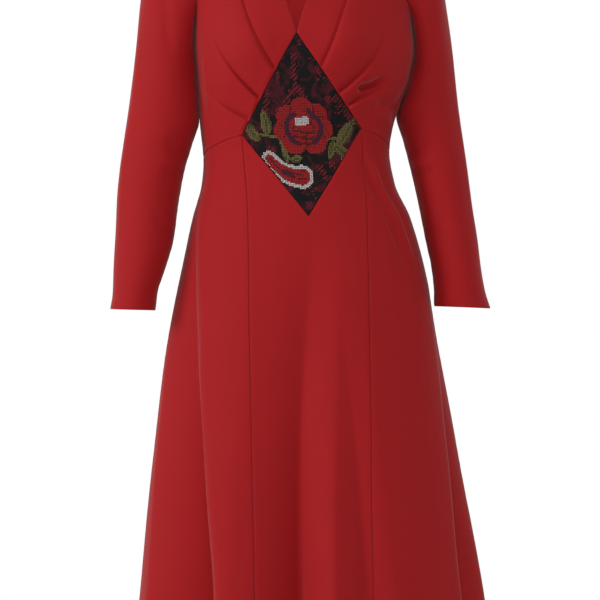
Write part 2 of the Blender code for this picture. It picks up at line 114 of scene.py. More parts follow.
# pleats: start, bend and end as x from the centre line and height, then how far the
# roll stands out, how deep the hollow beside it is and how deep the crease between them.
# letOut and creaseLetOut are the shares of its length in which a pleat opens out
pleats = {
    "rows": (
        (-32, -294, -70, -239, -92, -120, 2.2, 1.8, 2.8),
        (-60, -330, -112, -277, -121, -222, 2.8, 2.8, 3.6),
        (-74, -362, -136, -330, -150, -272, 3.4, 4.0, 2.6),
        (33, -288, 61, -242, 92, -120, 1.4, 1.2, 3.0),
        (59, -322, 122, -277, 130, -222, 3.4, 4.8, 2.6),
        (72, -340, 104, -319, 144, -308, 4.4, 6.6, 2.0),
    ),
    "rollAt": 7.0,
    "rollWidth": 17.0,
    "rollRise": 0.75,
    "hollowRise": 2.4,
    "soften": 1.2,
    "narrow": 5.0,
    "wide": 13.0,
    "crease": 1.9,
    "creaseEnd": 3.0,
    "letOut": 0.75,
    "creaseLetOut": 0.35,
    "fade": 5.0,
}

# soft creases: start, bend and end as angle from the centre front and height, then how
# far the crease stands out (a trough is negative) and its half width
bodyCreases = (
    (27, -320, 38, -313, 48, -304, -14.0, 6.5),
    (42, -336, 56, -341, 78, -340, -4.4, 8),
    (44, -352, 58, -360, 78, -366, 1.8, 6),
    (-62, -262, -66, -306, -60, -346, 3.0, 8),
    (40, -388, 52, -460, 62, -580, 5.0, 7),
    (36, -395, 46, -470, 56, -600, -4.6, 7),
    (-51, -640, -44, -820, -37, -1060, 1.4, 6),
    (-80, -300, -72, -345, -60, -395, -1.6, 10),
    (78, -255, 80, -300, 70, -372, -2.0, 11),
    (-62, -120, -66, -160, -80, -205, -2.2, 10),
    (60, -120, 66, -165, 80, -205, -2.0, 10),
    (-112, -110, -108, -165, -96, -208, -2.6, 11),
    (112, -112, 108, -160, 96, -206, -2.4, 11),
    (-150, -120, -146, -230, -132, -340, -1.6, 16),
    (150, -130, 144, -240, 134, -350, -1.8, 16),
    (-172, -352, -150, -362, -126, -352, -2.4, 8),
    (172, -345, 152, -358, 124, -347, -2.2, 8),
    (-168, -378, -150, -384, -132, -378, 1.6, 6),
    (166, -376, 148, -383, 130, -374, 1.6, 6),
    (-100, -330, -106, -365, -118, -398, -1.6, 9),
    (100, -325, 108, -362, 120, -396, -1.7, 9),
    (-120, -420, -128, -500, -140, -600, 1.8, 10),
    (118, -420, 128, -505, 138, -610, 1.8, 10),
)
creaseFade = 0.3  # share of a crease's length that it takes to rise at each end

# the slow unevenness of hanging cloth: seed, length of a wave, reach and how drawn out
# it is in height, with the height where the bodice's gives way to the skirt's
dents = {
    "waves": 6,
    "lengths": (0.6, 1.7),
    "even": 2.4,
    "bodice": (3, 80, 0.4, 1.0),
    "skirt": (5, 110, 0.9, 3.0),
    "sleeve": (7, 80, 0.45, 1.6),
    "skirtFrom": -430,
    "blend": 120,
}

# a sleeve, ring by ring down the arm: its outer and inner sides as distance from the
# dress's middle and height, where its middle lies from front to back, and half its depth
sleeveShape = {
    "columns": ("outerX", "outerZ", "innerX", "innerZ", "middleY", "depth"),
    "rows": {
        -1: (
            (205, -86, 146, -230, 0, 58),
            (214, -135, 143.5, -248, 1, 58),
            (221.5, -184, 140, -272, 3, 57),
            (229.5, -257, 136.5, -312, 5, 55),
            (237.5, -329, 135.5, -352, 6, 53),
            (247, -395, 148.5, -396, 6, 51),
            (252, -431, 159, -431, 4, 50),
            (256.5, -474, 166.5, -474, 2, 48),
            (259, -532, 174.5, -532, -5, 46),
            (261, -575, 187, -575, -12, 42),
            (262.5, -610, 198, -608, -18, 39),
            (266, -632, 201.5, -634, -22, 38),
        ),
        1: (
            (206, -86, 172, -230, 2, 59),
            (214, -135, 171, -248, 5, 61),
            (220.5, -184, 169.5, -272, 9, 62),
            (230.5, -257, 161, -312, 11, 60),
            (239, -329, 150.5, -350, 11, 56),
            (247, -390, 160, -388, 8, 52),
            (258.5, -474, 181, -474, 2, 48),
            (267, -532, 192, -532, -6, 45),
            (271.5, -575, 200, -575, -12, 43),
            (276.5, -608, 202, -606, -18, 42),
            (283, -631, 201, -628, -22, 41),
        ),
    },
    "clearOfBody": 0.35,
    "flattened": 1.2,
    "flatFrom": 0.12,
    "dentsFrom": 0.06,
    "armholeDepth": 58,
    "armholeGap": 0.5,
    "capLength": 0.3,
}

# creases of a sleeve: angle round the arm (0 outside, 90 in front, 180 inside, 270 behind)
# and share of the length, then how far it stands out and its half width
sleeveCreases = (
    (20, 0.16, 24, 0.45, 30, 0.9, 1.6, 12),
    (96, 0.50, 126, 0.56, 168, 0.57, -2.2, 9),
    (104, 0.60, 132, 0.63, 172, 0.61, -1.8, 8),
    (92, 0.56, 124, 0.60, 164, 0.59, 1.2, 7),
    (250, 0.50, 285, 0.55, 322, 0.53, -1.8, 10),
    (245, 0.58, 275, 0.61, 310, 0.62, -1.5, 9),
    (60, 0.04, 74, 0.16, 96, 0.30, -2.4, 11),
    (300, 0.04, 288, 0.15, 266, 0.28, -2.6, 11),
    (150, 0.10, 140, 0.22, 120, 0.34, -2.0, 10),
    (215, 0.10, 226, 0.22, 246, 0.33, -2.0, 10),
    (100, 0.72, 120, 0.78, 158, 0.80, -1.1, 9),
    (230, 0.78, 262, 0.82, 300, 0.80, -1.1, 9),
)

# how a cut edge runs, from its raw end to the flat cloth: distance from the edge and
# depth under the surface. A seam turns in, a fold is a hem or facing turned back inside
edgeShapes = {
    "seam": ((0.06, 4.5), (0.06, 3.2), (0.07, 2.0), (0.14, 1.2), (0.4, 0.6), (0.95, 0.2), (1.9, 0.0)),
    "fold": ((20, 2.0), (9, 2.1), (1.5, 2.0), (0.35, 1.6), (0.0, 0.95), (0.4, 0.25), (1.6, 0.0)),
    "catch": 0.25,  # share of the way in over which the flat cloth makes room for an edge
    "tries": 9,
    "pull": 1.4,
    "farthest": 0.2,
    "allowance": 12.0,
    "pressed": 0.28,
    "pressedEdge": 4.0,
    "puckerReach": 8.0,
    "puckerLength": 13.0,
    "puckerSpread": (0.7, 1.9),
    "puckerWaves": 3,
}
cloth = {
    "wall": 0.9,
    "samples": 33,
    "seamAllowances": 30.0,  # both edges together
    "edgeFade": 4,
}


def smoothStep(value):
    value = np.clip(value, 0, 1)
    return value * value * (3 - 2 * value)


def mix(a, b, share):
    return a + (b - a) * share


def pair(around, height):
    return np.stack(np.broadcast_arrays(around, height), -1).astype(float)


def slopesOf(places, values):  # slopes that keep the curve from overshooting its rows
    spans = np.diff(places)
    rises = np.diff(values) / spans
    slopes = np.concatenate([rises[:1], np.zeros(len(rises) - 1), rises[-1:]])
    for i in range(1, len(rises)):
        if rises[i - 1] * rises[i] > 0:
            first, second = 2 * spans[i] + spans[i - 1], spans[i] + 2 * spans[i - 1]
            slopes[i] = (first + second) / (first / rises[i - 1] + second / rises[i])
    return slopes


def curvesOf(columns, rows):
    table = np.array(sorted(rows), float)
    places = table[:, 0]
    return {
        name: (places, table[:, i], slopesOf(places, table[:, i]))
        for i, name in enumerate(columns)
        if i
    }


def readCurve(curve, place):
    places, values, slopes = curve
    place = np.clip(place, places[0], places[-1])
    i = np.clip(np.searchsorted(places, place, "right") - 1, 0, len(places) - 2)
    span = places[i + 1] - places[i]
    t = (place - places[i]) / span
    return (
        values[i] * (1 + 2 * t) * (1 - t) ** 2
        + values[i + 1] * t * t * (3 - 2 * t)
        + span * (slopes[i] * t * (1 - t) ** 2 + slopes[i + 1] * t * t * (t - 1))
    )


bodyCurves = curvesOf(bodyShape["columns"], bodyShape["rows"])


def halfWidth(x, height):
    left, right = (readCurve(bodyCurves[side], height) for side in ("left", "right"))
    return np.where(x > 0, left, right)


def byBend(x, z, start, bend, end, steps=14):
    # nearest distance to a bent line, the share along it and the signed distance
    nearest = np.full(np.shape(x), 1e9)
    along, across = np.zeros_like(nearest), np.zeros_like(nearest)
    start, bend, end = (np.array(p, float) for p in (start, bend, end))
    before = start
    for i in range(1, steps + 1):
        t = i / steps
        after = start * (1 - t) ** 2 + bend * (2 * t * (1 - t)) + end * t * t
        run = after - before
        share = np.clip(((x - before[0]) * run[0] + (z - before[1]) * run[1]) / (run @ run), 0, 1)
        gapX, gapZ = x - before[0] - run[0] * share, z - before[1] - run[1] * share
        gap = np.hypot(gapX, gapZ)
        closer = gap < nearest
        nearest = np.where(closer, gap, nearest)
        along = np.where(closer, (i - 1 + share) / steps, along)
        across = np.where(closer, (run[0] * gapZ - run[1] * gapX) / np.hypot(*run), across)
        before = after
    return nearest, along, across


def bySide(heights, x):
    return np.where(x > 0, heights[1], heights[-1])


def diamondCorner(side):
    return side * diamondShape["half"], diamondShape["cornerZ"][side]


def outsideDiamond(x, z):  # distance from the upper edges, positive outside
    cornerZ = bySide(diamondShape["cornerZ"], x)
    runX, runZ = -diamondShape["half"], diamondShape["topZ"] - cornerZ
    length = np.hypot(runX, runZ)
    return ((np.abs(x) - diamondShape["half"]) * runZ - (z - cornerZ) * runX) / length


def belowDiamond(x, z):  # distance from the lower edges, positive outside
    cornerZ = bySide(diamondShape["cornerZ"], x)
    runX, runZ = diamondShape["half"], cornerZ - diamondShape["tipZ"]
    return (np.abs(x) * runZ - (z - diamondShape["tipZ"]) * runX) / np.hypot(runX, runZ)


def pleatRelief(x, z):
    relief = np.zeros_like(x)
    for startX, startZ, bendX, bendZ, endX, endZ, stand, depth, crease in pleats["rows"]:
        side = math.copysign(1, startX)
        nearest, along, across = byBend(x, z, (startX, startZ), (bendX, bendZ), (endX, endZ))
        across = across * side
        fade = smoothStep((1 - along) / pleats["letOut"])
        creased = crease * smoothStep((1 - along) / pleats["creaseLetOut"])
        soft = 1 + pleats["soften"] * along
        fromRoll = -across - pleats["rollAt"] * soft
        rollIn = pleats["rollAt"] * pleats["rollRise"]
        rollWidth = np.where(fromRoll > 0, pleats["rollWidth"] * soft, rollIn * soft)
        roll = stand * fade * np.exp(-((fromRoll / rollWidth) ** 2))
        opened = mix(pleats["narrow"], pleats["wide"], along)
        hollowWidth = np.where(across > 0, opened, pleats["hollowRise"] * soft)
        hollow = depth * fade * np.exp(-((across / hollowWidth) ** 2))
        line = creased * np.exp(-((across / pleats["crease"]) ** 2))
        beyond = np.maximum(0, nearest - np.abs(across))
        ended = np.exp(-((beyond / pleats["rollWidth"]) ** 2))
        lineEnded = np.exp(-((beyond / pleats["creaseEnd"]) ** 2))
        relief += np.where(x * side > 0, (roll - hollow) * ended - line * lineEnded, 0)
    return relief * smoothStep(outsideDiamond(x, z) / pleats["fade"])


def fluteSink(around, height):
    sink = np.zeros(np.broadcast(around, height).shape)
    for top, hem, depth, before, after, start in flutes["rows"]:
        share = np.maximum(0, (start - height) / (start - bodyShape["hemZ"]))
        away = (around - mix(hem, top, (1 - share) ** 2) + 180) % 360 - 180
        away = away / np.where(away > 0, after, before)
        lobe = (1 - np.hypot(away, flutes["round"])) / (1 - flutes["round"])
        sink = sink + depth * share ** flutes["growth"] * np.maximum(0, lobe) ** flutes["power"]
    return sink


def creaseRise(x, z, start, bend, end, stand, width):  # one crease, faded at both ends
    nearest, along, _ = byBend(x, z, start, bend, end, 8)
    ends = smoothStep(along / creaseFade) * smoothStep((1 - along) / creaseFade)
    return stand * ends * np.exp(-((nearest / width) ** 2))


def creaseRelief(around, height):
    relief = np.zeros(np.broadcast(around, height).shape)
    for startA, startZ, bendA, bendZ, endA, endZ, stand, width in bodyCreases:
        reach = [float(readCurve(bodyCurves[c], bendZ)) for c in ("left", "right", "front", "back")]
        perDegree = math.radians(sum(reach) / 4)
        x = ((around - bendA + 180) % 360 - 180) * perDegree
        start, end = ((startA - bendA) * perDegree, startZ), ((endA - bendA) * perDegree, endZ)
        relief = relief + creaseRise(x, height, start, (0, bendZ), end, stand, width)
    return relief


def softDents(points, kind, side=0):
    seed, length, reach, tall = dents[kind]
    random = np.random.default_rng(seed + side)
    total = np.zeros(points.shape[:-1])
    for _ in range(dents["waves"]):
        direction = random.normal(size=3)
        direction /= np.linalg.norm(direction)
        direction[2] /= tall
        wave = 2 * np.pi / (length * random.uniform(*dents["lengths"]))
        total += np.sin(points @ direction * wave + random.uniform(0, 2 * np.pi))
    return total * reach / dents["even"]


def bodySurface(around, height):
    # a point on the outside of the dress, around in degrees from the centre front
    around, height = np.broadcast_arrays(np.asarray(around, float), np.asarray(height, float))
    angle = np.radians(around)
    power = 2 / readCurve(bodyCurves["square"], height)
    across, ahead = np.sin(angle), np.cos(angle)
    x = np.sign(across) * np.abs(across) ** power * halfWidth(across, height)
    front, back = (readCurve(bodyCurves[side], height) for side in ("front", "back"))
    y = -np.sign(ahead) * np.abs(ahead) ** power * np.where(ahead > 0, front, back)
    facing = np.maximum(0, ahead) ** power
    aside, above = (np.abs(x) - cups["x"]) / cups["width"], (height - cups["z"]) / cups["height"]
    y = y - cups["rise"] * np.exp(-(aside ** 2 + above ** 2)) * facing
    waist = bySide(bodyShape["sideWaistZ"], x)
    inBodice = (height > waist) & (height < bodyShape["shoulderZ"]) & (ahead > 0)
    inBodice = inBodice & (outsideDiamond(x, height) > 0)
    if inBodice.any():
        relief = np.zeros_like(y)
        relief[inBodice] = pleatRelief(x[inBodice], height[inBodice])
        y = y - relief * facing
    ring = np.maximum(1, np.hypot(x, y))
    base = np.stack([x, y, height], -1)
    onInset = (outsideDiamond(x, height) < 0) & (belowDiamond(x, height) < 0) & (ahead > 0)
    inSkirt = smoothStep((dents["skirtFrom"] - height) / dents["blend"])
    rise = mix(softDents(base, "bodice"), softDents(base, "skirt"), inSkirt)
    rise = rise + creaseRelief(around, height)
    rise = np.where(onInset, 0, rise) - fluteSink(around, height)
    scale = 1 + rise / ring
    return np.stack([x * scale + readCurve(bodyCurves["centre"], height), y * scale, height], -1)


def aroundOf(x, height):  # the angle where the ring stands x away from the centre line
    power = 2 / readCurve(bodyCurves["square"], height)
    share = np.minimum(1, np.abs(x) / halfWidth(x, height))
    return np.copysign(np.degrees(np.arcsin(share ** (1 / power))), x)


def normalsOf(surface, a, b, steps):
    across = surface(a + steps[0], b) - surface(a - steps[0], b)
    up = surface(a, b + steps[1]) - surface(a, b - steps[1])
    normal = np.cross(across, up)
    return normal / np.linalg.norm(normal, axis=-1, keepdims=True)


def rowLengths(points):
    return np.linalg.norm(np.diff(points, axis=0), axis=-1).sum(0)


def edgeStations(fold, count):
    seam, turned = (np.array(edgeShapes[kind]) for kind in ("seam", "fold"))
    share = np.broadcast_to(np.asarray(fold, float), (count,))[None, :, None]
    shaped = mix(seam[:, None, :], turned[:, None, :], share)
    return shaped[..., 0], shaped[..., 1]


def fromEdge(gaps, lengths, at):
    # the shares of the way in that lie these distances from the edge, found by trial
    # because the surface can run fast beside a seam
    shares = gaps / lengths
    edge = at(np.zeros_like(shares))
    for _ in range(edgeShapes["tries"]):
        away = np.linalg.norm(at(shares) - edge, axis=-1)
        closer = (gaps / np.maximum(away, 1e-6)) ** edgeShapes["pull"]
        shares = np.minimum(edgeShapes["farthest"], shares * closer)
    return shares


def stations(inner, start, end, lengths, at):
    # shares across the cloth and depths under it, one line for each station
    count = len(lengths)
    startGap, startDepth = edgeStations(start, count)
    endGap, endDepth = edgeStations(end, count)
    fromStart = fromEdge(startGap, lengths, at)
    fromEnd = fromEdge(endGap, lengths, lambda share: at(1 - share))
    share = (np.arange(1, inner) / inner)[:, None]
    catch = edgeShapes["catch"]
    pushed = fromStart[-1] * np.maximum(0, 1 - share / catch)
    share = share + pushed - fromEnd[-1] * np.maximum(0, 1 - (1 - share) / catch)
    shares = np.concatenate([fromStart, share, (1 - fromEnd)[::-1]])
    depths = np.concatenate([startDepth, np.zeros((inner - 1, count)), endDepth[::-1]])
    return shares, depths


def seamRise(u, v, widths, heights, seams, pucker, seed):
    # faint puckers along the seams, and the print of the pressed allowances
    random = np.random.default_rng(seed)
    fromSides, fromEnds = np.minimum(u, 1 - u) * widths, np.minimum(v, 1 - v) * heights[:, None]
    left, right, bottom, top = seams
    sides = np.where(u < 0.5, left, right), np.where(v < 0.5, bottom[:, None], top[:, None])
    rise = np.zeros_like(u)
    for away, along, seam in zip((fromSides, fromEnds), (v * heights[:, None], u * widths), sides):
        wave = np.zeros_like(u)
        for _ in range(edgeShapes["puckerWaves"]):
            length = edgeShapes["puckerLength"] * random.uniform(*edgeShapes["puckerSpread"])
            turn = random.uniform(0, 2 * np.pi)
            wave += np.sin(2 * np.pi * along / length + turn) / edgeShapes["puckerWaves"]
        inside = (edgeShapes["allowance"] - away) / edgeShapes["pressedEdge"]
        pressed = edgeShapes["pressed"] * smoothStep(inside)
        rise += seam * (pucker * wave * np.exp(-away / edgeShapes["puckerReach"]) + pressed)
    return rise


def addPiece(name, mesh, material):
    mesh.materials.append(material)
    piece = bpy.data.objects.new(name, mesh)
    bpy.context.scene.collection.objects.link(piece)
    return piece


def clothPiece(name, material, cells, spot, folds, seed,
               surface=bodySurface, steps=(0.2, 0.2), turn=1, pucker=0.22):
    # folds says how far each edge is a fold and not a seam: left, right, bottom, top
    extra = 2 * len(edgeShapes["seam"]) - 2
    columns, rows = cells[0] + 1 + extra, cells[1] + 1 + extra
    ends, alongU, alongV = (np.linspace(0, 1, n) for n in (cloth["samples"], columns, rows))
    widths = rowLengths(surface(*spot(ends[:, None], alongV[None, :])))
    heights = rowLengths(surface(*spot(alongU[None, :], ends[:, None])))
    along = (alongV, alongV, alongU, alongU)
    left, right, bottom, top = (
        fold(t) * 1.0 if callable(fold) else np.full(len(t), float(fold))
        for fold, t in zip(folds, along)
    )
    u, depthU = stations(
        cells[0], left, right, widths, lambda u: surface(*spot(u, alongV[None, :]))
    )
    v, depthV = stations(
        cells[1], bottom, top, heights, lambda v: surface(*spot(alongU[None, :], v))
    )
    v, depthV = v.T, depthV.T
    a, b = spot(u, v)
    points, normals = surface(a, b), normalsOf(surface, a, b, steps) * turn
    seams = [1 - fold for fold in (left, right, bottom, top)]
    rise = seamRise(u, v, widths, heights, seams, pucker, seed)
    points = points - normals * (depthU + depthV - rise)[..., None]

    bm = bmesh.new()
    bmesh.ops.create_grid(bm, x_segments=columns - 1, y_segments=rows - 1, size=0.5)
    mesh = bpy.data.meshes.new(name)
    bm.to_mesh(mesh)
    bm.free()
    flat = np.zeros(len(mesh.vertices) * 3)
    mesh.vertices.foreach_get("co", flat)
    flat = flat.reshape(-1, 3)
    i = np.rint((flat[:, 0] + 0.5) * (columns - 1)).astype(int)
    j = np.rint((flat[:, 1] + 0.5) * (rows - 1)).astype(int)
    mesh.vertices.foreach_set("co", (points[i, j] * metres).ravel())
    corners = np.zeros(len(mesh.loops), int)
    mesh.loops.foreach_get("vertex_index", corners)
    grain = np.stack([u * widths.mean(), v * heights.mean()], -1)[i, j] * metres
    mesh.uv_layers.new(name="grain").data.foreach_set("uv", grain[corners].ravel())
    m, n = columns // 2, rows // 2
    facing = np.cross(points[m + 1, n] - points[m, n], points[m, n + 1] - points[m, n])
    if facing @ normals[m, n] < 0:
        mesh.flip_normals()
    mesh.update()
    mesh.shade_smooth()
    piece = addPiece(name, mesh, material)
    wall = piece.modifiers.new("wall", "SOLIDIFY")
    wall.thickness = cloth["wall"] * metres
    wall.offset = -1
    area = sum(face.area for face in mesh.polygons)
    lengths = (float(runs.max()) + cloth["seamAllowances"] for runs in (widths, heights))
    size = [length * metres for length in lengths]
    return piece, size, area


def sewn(piece, size, area, node, slot, hangsFrom):
    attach(piece, "dress")
    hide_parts(node)
    area = min(size[0] * size[1], area)
    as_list(hangsFrom)
    print(f"{piece.name}: cut {size[0]:.3f} by {size[1]:.3f} m, {area:.3f} square metres")
    return piece


def patch(bottom, top, inner, outer):
    # straight rows join the inner to the outer edge, and what the bottom and the top
    # edge depart from a straight row fades out in the rows beside them
    def spot(u, v):
        u, v = np.broadcast_arrays(u, v)
        share, height = u[..., None], v[..., None]
        none, whole = np.zeros(1), np.ones(1)
        row = mix(inner(v), outer(v), share)
        fromBottom = bottom(u) - mix(bottom(none), bottom(whole), share)
        fromTop = top(u) - mix(top(none), top(whole), share)
        fade = cloth["edgeFade"]
        row = row + fromBottom * (1 - height) ** fade + fromTop * height ** fade
        return row[..., 0], row[..., 1]

    return spot


def armhole(share, side, back=False):  # share 0 at the shoulder and 1 at the underarm
    swing = bodyShape["armholeBack"] if back else -bodyShape["armholeFront"]
    drop = (1 - np.cos(np.pi * share)) / 2
    height = mix(bodyShape["shoulderZ"], bodyShape["underarmZ"], drop)
    return pair(side * (90 + swing * np.sin(np.pi * share)), height)


def flatLine(start, end, t):  # looks straight from the front, from (x, height) to (x, height)
    x, height = mix(start[0], end[0], t), mix(start[1], end[1], t)
    return pair(aroundOf(x, height), height)


def sideSeam(side, bottomZ, t, topZ):
    return pair(side * 90.0, mix(bottomZ, topZ, t))


# shares of an edge, from its start: where the front's diamond edge and its side seam end,
# how far above the diamond the facing starts, and where the back's side seam and neck end
bodiceCut = {
    "frontDiamond": 16 / 26,
    "frontSide": 14 / 26,
    "caught": 0.004,
    "backSide": 8 / 20,
    "backNeck": 4 / 10,
}


def acrossAt(level, inner, outer):  # straight across the cloth from one edge to the other
    ends = np.full(1, float(level))
    return lambda u: mix(inner(ends), outer(ends), u[..., None])


def sideAndArmhole(side, atSide, back=False):
    def outer(v):
        seam = sideSeam(side, bodyShape["sideWaistZ"][side], v / atSide, bodyShape["underarmZ"])
        hole = armhole(1 - (v - atSide) / (1 - atSide), side, back)
        return np.where((v <= atSide)[..., None], seam, hole)

    return outer


def bodiceFront(name, side, material):
    top = (side * 0.001, diamondShape["topZ"])  # a hair to its own side of the centre line
    atDiamond, atSide = bodiceCut["frontDiamond"], bodiceCut["frontSide"]

    def inner(v):
        edge = flatLine(diamondCorner(side), top, np.minimum(1, v / atDiamond))
        share = np.clip((v - atDiamond) / (1 - atDiamond), 0, 1)
        height = mix(diamondShape["topZ"], 0, share)
        neck = pair(aroundOf(side * bodyShape["neckX"] * share, height), height)
        return np.where((v <= atDiamond)[..., None], edge, neck)

    def shoulder(u):
        return pair(side * 90.0, mix(0, bodyShape["shoulderZ"], u))

    outer = sideAndArmhole(side, atSide)
    spot = patch(acrossAt(0, inner, outer), shoulder, inner, outer)
    folds = (lambda v: v > atDiamond + bodiceCut["caught"], 0, 0, 0)
    return clothPiece(name, material, (116, 252), spot, folds, 11 + side)


def bodiceBack(name, side, material):
    atSide, atNeck = bodiceCut["backSide"], bodiceCut["backNeck"]

    def centre(v):
        return pair(side * 180.0, mix(bodyShape["backWaistZ"], bodyShape["backNeckZ"], v))

    def top(u):
        share = np.minimum(1, u / atNeck)
        height = bodyShape["backNeckZ"] * (1 - share ** 2)
        neck = pair(side * (180 - aroundOf(bodyShape["neckX"] * share, height)), height)
        shoulder = pair(side * 90.0, mix(0, bodyShape["shoulderZ"], (u - atNeck) / (1 - atNeck)))
        return np.where((u <= atNeck)[..., None], neck, shoulder)

    outer = sideAndArmhole(side, atSide, back=True)
    spot = patch(acrossAt(0, centre, outer), top, centre, outer)
    folds = (0, 0, 0, lambda u: u < atNeck)
    return clothPiece(name, material, (44, 92), spot, folds, 21 + side)


def insetDiamond(name, material):
    tip, top = (0, diamondShape["tipZ"]), (0, diamondShape["topZ"])
    left, right = diamondCorner(1), diamondCorner(-1)
    spot = patch(
        lambda u: flatLine(tip, left, u),
        lambda u: flatLine(right, top, u),
        lambda v: flatLine(tip, right, v),
        lambda v: flatLine(left, top, v),
    )
    return clothPiece(name, material, (76, 76), spot, (0, 0, 0, 0), 1, pucker=0.1)


def princessSeam(side, share):  # from the hem up to the diamond's corner
    x = mix(bodyShape["princessHemX"], diamondShape["half"], share)
    x = x - bodyShape["princessBow"] * np.sin(np.pi * share)
    height = mix(bodyShape["hemZ"], diamondShape["cornerZ"][side], share)
    return pair(aroundOf(side * x, height), height)


def skirtFrontCentre(name, material):
    tip = (0, diamondShape["tipZ"])

    def underDiamond(u):
        away = np.abs(2 * u - 1)
        halves = [flatLine(tip, diamondCorner(side), away) for side in (-1, 1)]
        return np.where((u > 0.5)[..., None], halves[1], halves[0])

    right, left = (lambda v: princessSeam(-1, v)), (lambda v: princessSeam(1, v))
    spot = patch(acrossAt(0, right, left), underDiamond, right, left)
    return clothPiece(name, material, (52, 150), spot, (0, 0, 1, 0), 31)


def skirtSide(name, side, material, inner, columns, seed):
    def outer(v):
        return sideSeam(side, bodyShape["hemZ"], v, bodyShape["sideWaistZ"][side])

    spot = patch(acrossAt(0, inner, outer), acrossAt(1, inner, outer), inner, outer)
    return clothPiece(name, material, (columns, 150), spot, (0, 0, 1, 0), seed + side)


def skirtFront(name, side, material):
    return skirtSide(name, side, material, lambda v: princessSeam(side, v), 56, 41)


def skirtBack(name, side, material):
    def centre(v):
        return pair(side * 180.0, mix(bodyShape["hemZ"], bodyShape["backWaistZ"], v))

    return skirtSide(name, side, material, centre, 68, 51)


def sleeveCurves(side):
    shoulder, underarm = (
        bodySurface(side * 90.0, bodyShape[level]) for level in ("shoulderZ", "underarmZ")
    )
    ends = (side * shoulder[0], shoulder[2], side * underarm[0], underarm[2])
    first = (*ends, 0, sleeveShape["armholeDepth"])
    rings = np.array([first, *sleeveShape["rows"][side]], float)
    middles = (rings[:, :2] + rings[:, 2:4]) / 2
    lengths = np.concatenate([[0], np.cumsum(np.linalg.norm(np.diff(middles, axis=0), axis=1))])
    rows = [(length / lengths[-1], *ring) for length, ring in zip(lengths, rings)]
    return curvesOf(("share", *sleeveShape["columns"]), rows), lengths[-1]


def besideBody(point, side, share):  # where the arm rests on the body, the sleeve lies flat
    x, y, height = point[..., 0] * side, point[..., 1], point[..., 2]
    square, centre = readCurve(bodyCurves["square"], height), readCurve(bodyCurves["centre"], height)
    front, back = (readCurve(bodyCurves[end], height) for end in ("front", "back"))
    ahead = np.minimum(1, np.abs(y) / np.where(y < 0, front, back))
    wall = halfWidth(side, height) * (1 - ahead ** square) ** (1 / square)
    wall = wall + side * centre + sleeveShape["clearOfBody"]
    soft = sleeveShape["flattened"]
    kept = wall + soft * np.logaddexp(0, (x - wall) / soft)
    flat = smoothStep(share / sleeveShape["flatFrom"])
    point = point.copy()
    point[..., 0] = side * mix(x, np.maximum(x, kept), flat)
    return point


def sleeve(name, side, material):
    curves, length = sleeveCurves(side)

    def ring(around, share):
        read = {column: readCurve(curves[column], share) for column in sleeveShape["columns"]}
        angle = np.radians(around)
        outer = np.stack([side * read["outerX"], read["middleY"], read["outerZ"]], -1)
        inner = np.stack([side * read["innerX"], read["middleY"], read["innerZ"]], -1)
        ahead = np.stack([0 * read["depth"], -read["depth"], 0 * read["depth"]], -1)
        cosine, sine = np.cos(angle)[..., None], np.sin(angle)[..., None]
        return (outer + inner) / 2, (outer - inner) / 2 * cosine + ahead * sine

    def edge(around):
        turned = around % 360
        hole = np.where(
            (turned > 180)[..., None],
            armhole(2 - turned / 180, side, back=True),
            armhole(turned / 180, side),
        )
        point = bodySurface(hole[..., 0], hole[..., 1])
        point[..., 0] += side * sleeveShape["armholeGap"]
        return point

    def surface(around, share):
        around, share = np.broadcast_arrays(around, np.clip(share, 0, 1))
        cap = np.maximum(0, 1 - share / sleeveShape["capLength"]) ** 2
        middle, reach = ring(around, share)
        mouth, mouthReach = ring(around, np.zeros_like(share))
        point = middle + reach + (edge(around) - mouth - mouthReach) * cap[..., None]
        relief = np.zeros_like(share)
        for startA, startT, bendA, bendT, endA, endT, stand, width in sleeveCreases:
            x = (around - bendA + 180) % 360 - 180
            start, end = (startA - bendA, startT * length), (endA - bendA, endT * length)
            bend = (0, bendT * length)
            relief = relief + creaseRise(x, share * length, start, bend, end, stand, width)
        fromCap = smoothStep(share / sleeveShape["dentsFrom"])
        relief = relief + softDents(point, "sleeve", side) * fromCap
        outward = reach / np.linalg.norm(reach, axis=-1, keepdims=True)
        return besideBody(point + outward * relief[..., None], side, share)

    def spot(u, v):
        u, v = np.broadcast_arrays(u, v)
        return 180 + 360 * u, v

    return clothPiece(
        name, material, (96, 150), spot, (0, 0, 0, 1), 61 + side,
        surface=surface, steps=(0.2, 0.001), turn=side, pucker=0.3,
    )


# node helpers: an input is given a value, or is linked where it is given another socket
def setInputs(tree, node, inputs):
    for key, value in dict(inputs).items():
        if isinstance(value, bpy.types.NodeSocket):
            tree.links.new(value, node.inputs[key])
        else:
            node.inputs[key].default_value = value


def addNode(tree, kind, inputs=(), **settings):
    node = tree.nodes.new("ShaderNode" + kind)
    for key, value in settings.items():
        setattr(node, key, value)
    setInputs(tree, node, inputs)
    return node


def maths(tree, operation, *values):
    return addNode(tree, "Math", enumerate(values), operation=operation).outputs[0]


def noise(tree, place, scale, detail, **inputs):
    inputs.update({"Vector": place, "Scale": scale, "Detail": detail})
    return addNode(tree, "TexNoise", inputs).outputs[0]


def spread(tree, value, start, end, most):  # 0 up to start, and most from end on
    return addNode(tree, "MapRange", {0: value, 1: start, 2: end, 4: most}).outputs[0]


def bumpFrom(tree, height, strength, distance):
    inputs = {"Strength": strength, "Distance": distance, "Height": height}
    return addNode(tree, "Bump", inputs).outputs[0]


def blendColours(tree, share, first, second, mode="MIX"):
    inputs = {0: share, 6: first, 7: second}
    return addNode(tree, "Mix", inputs, data_type="RGBA", blend_type=mode).outputs[2]


def objectPlace(tree):
    return addNode(tree, "TexCoord").outputs["Object"]


